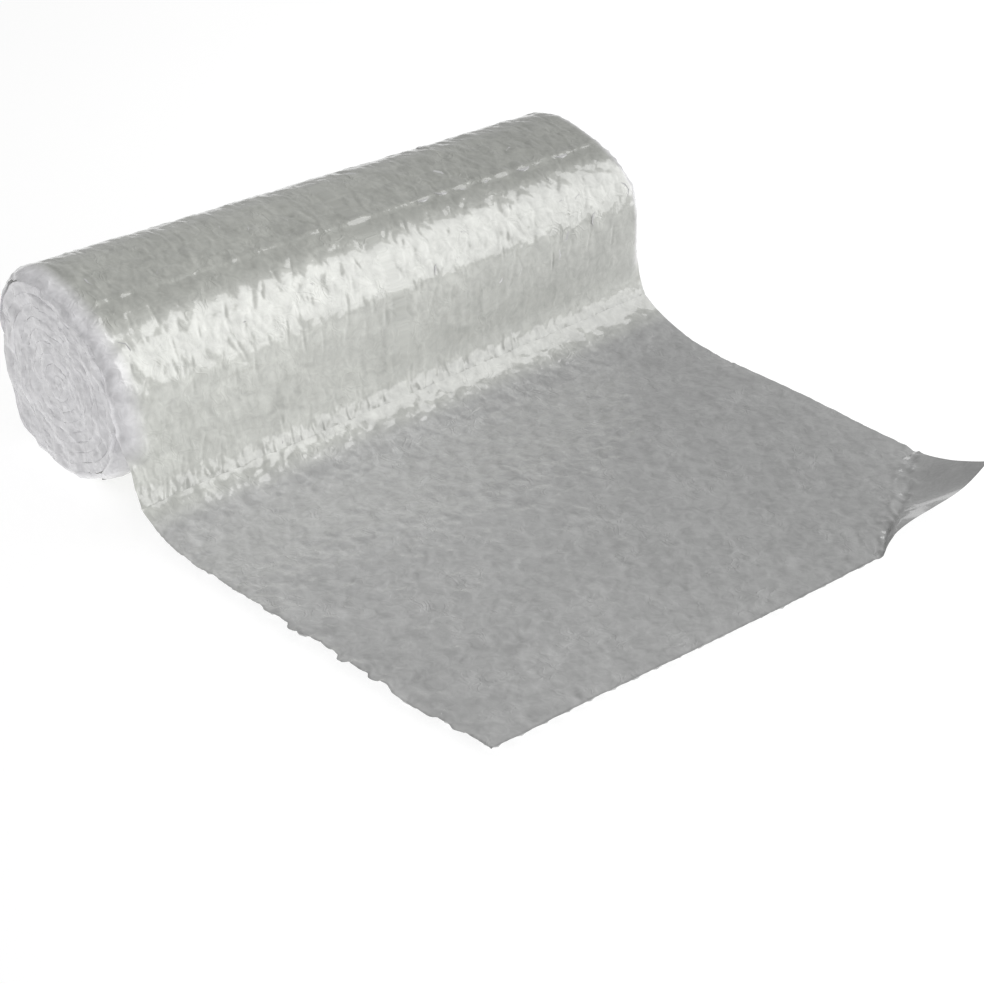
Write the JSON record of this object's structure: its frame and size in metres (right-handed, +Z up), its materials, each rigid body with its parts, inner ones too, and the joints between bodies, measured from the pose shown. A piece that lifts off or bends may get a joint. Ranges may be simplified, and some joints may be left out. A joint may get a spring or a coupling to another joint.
{
  "type": "bubble wrap roll",
  "caption": "Short roll of clear bubble wrap lying on its side, with the loose end hanging off the front and spread flat on the floor.",
  "frame": {"origin": "on the floor, at the middle of the whole film's length and width", "axes": "+X along the roll's axis, +Y from the cut edge towards the roll, +Z up"},
  "size_m": [0.3, 0.3324, 0.0936],
  "materials": {
    "clear_film": "thin clear polyethylene film, glossy, hazy grey where layers lie over each other"
  },
  "bodies": {
    "root": {"bubble_film": "clear_film"}
  },
  "joints": []
}
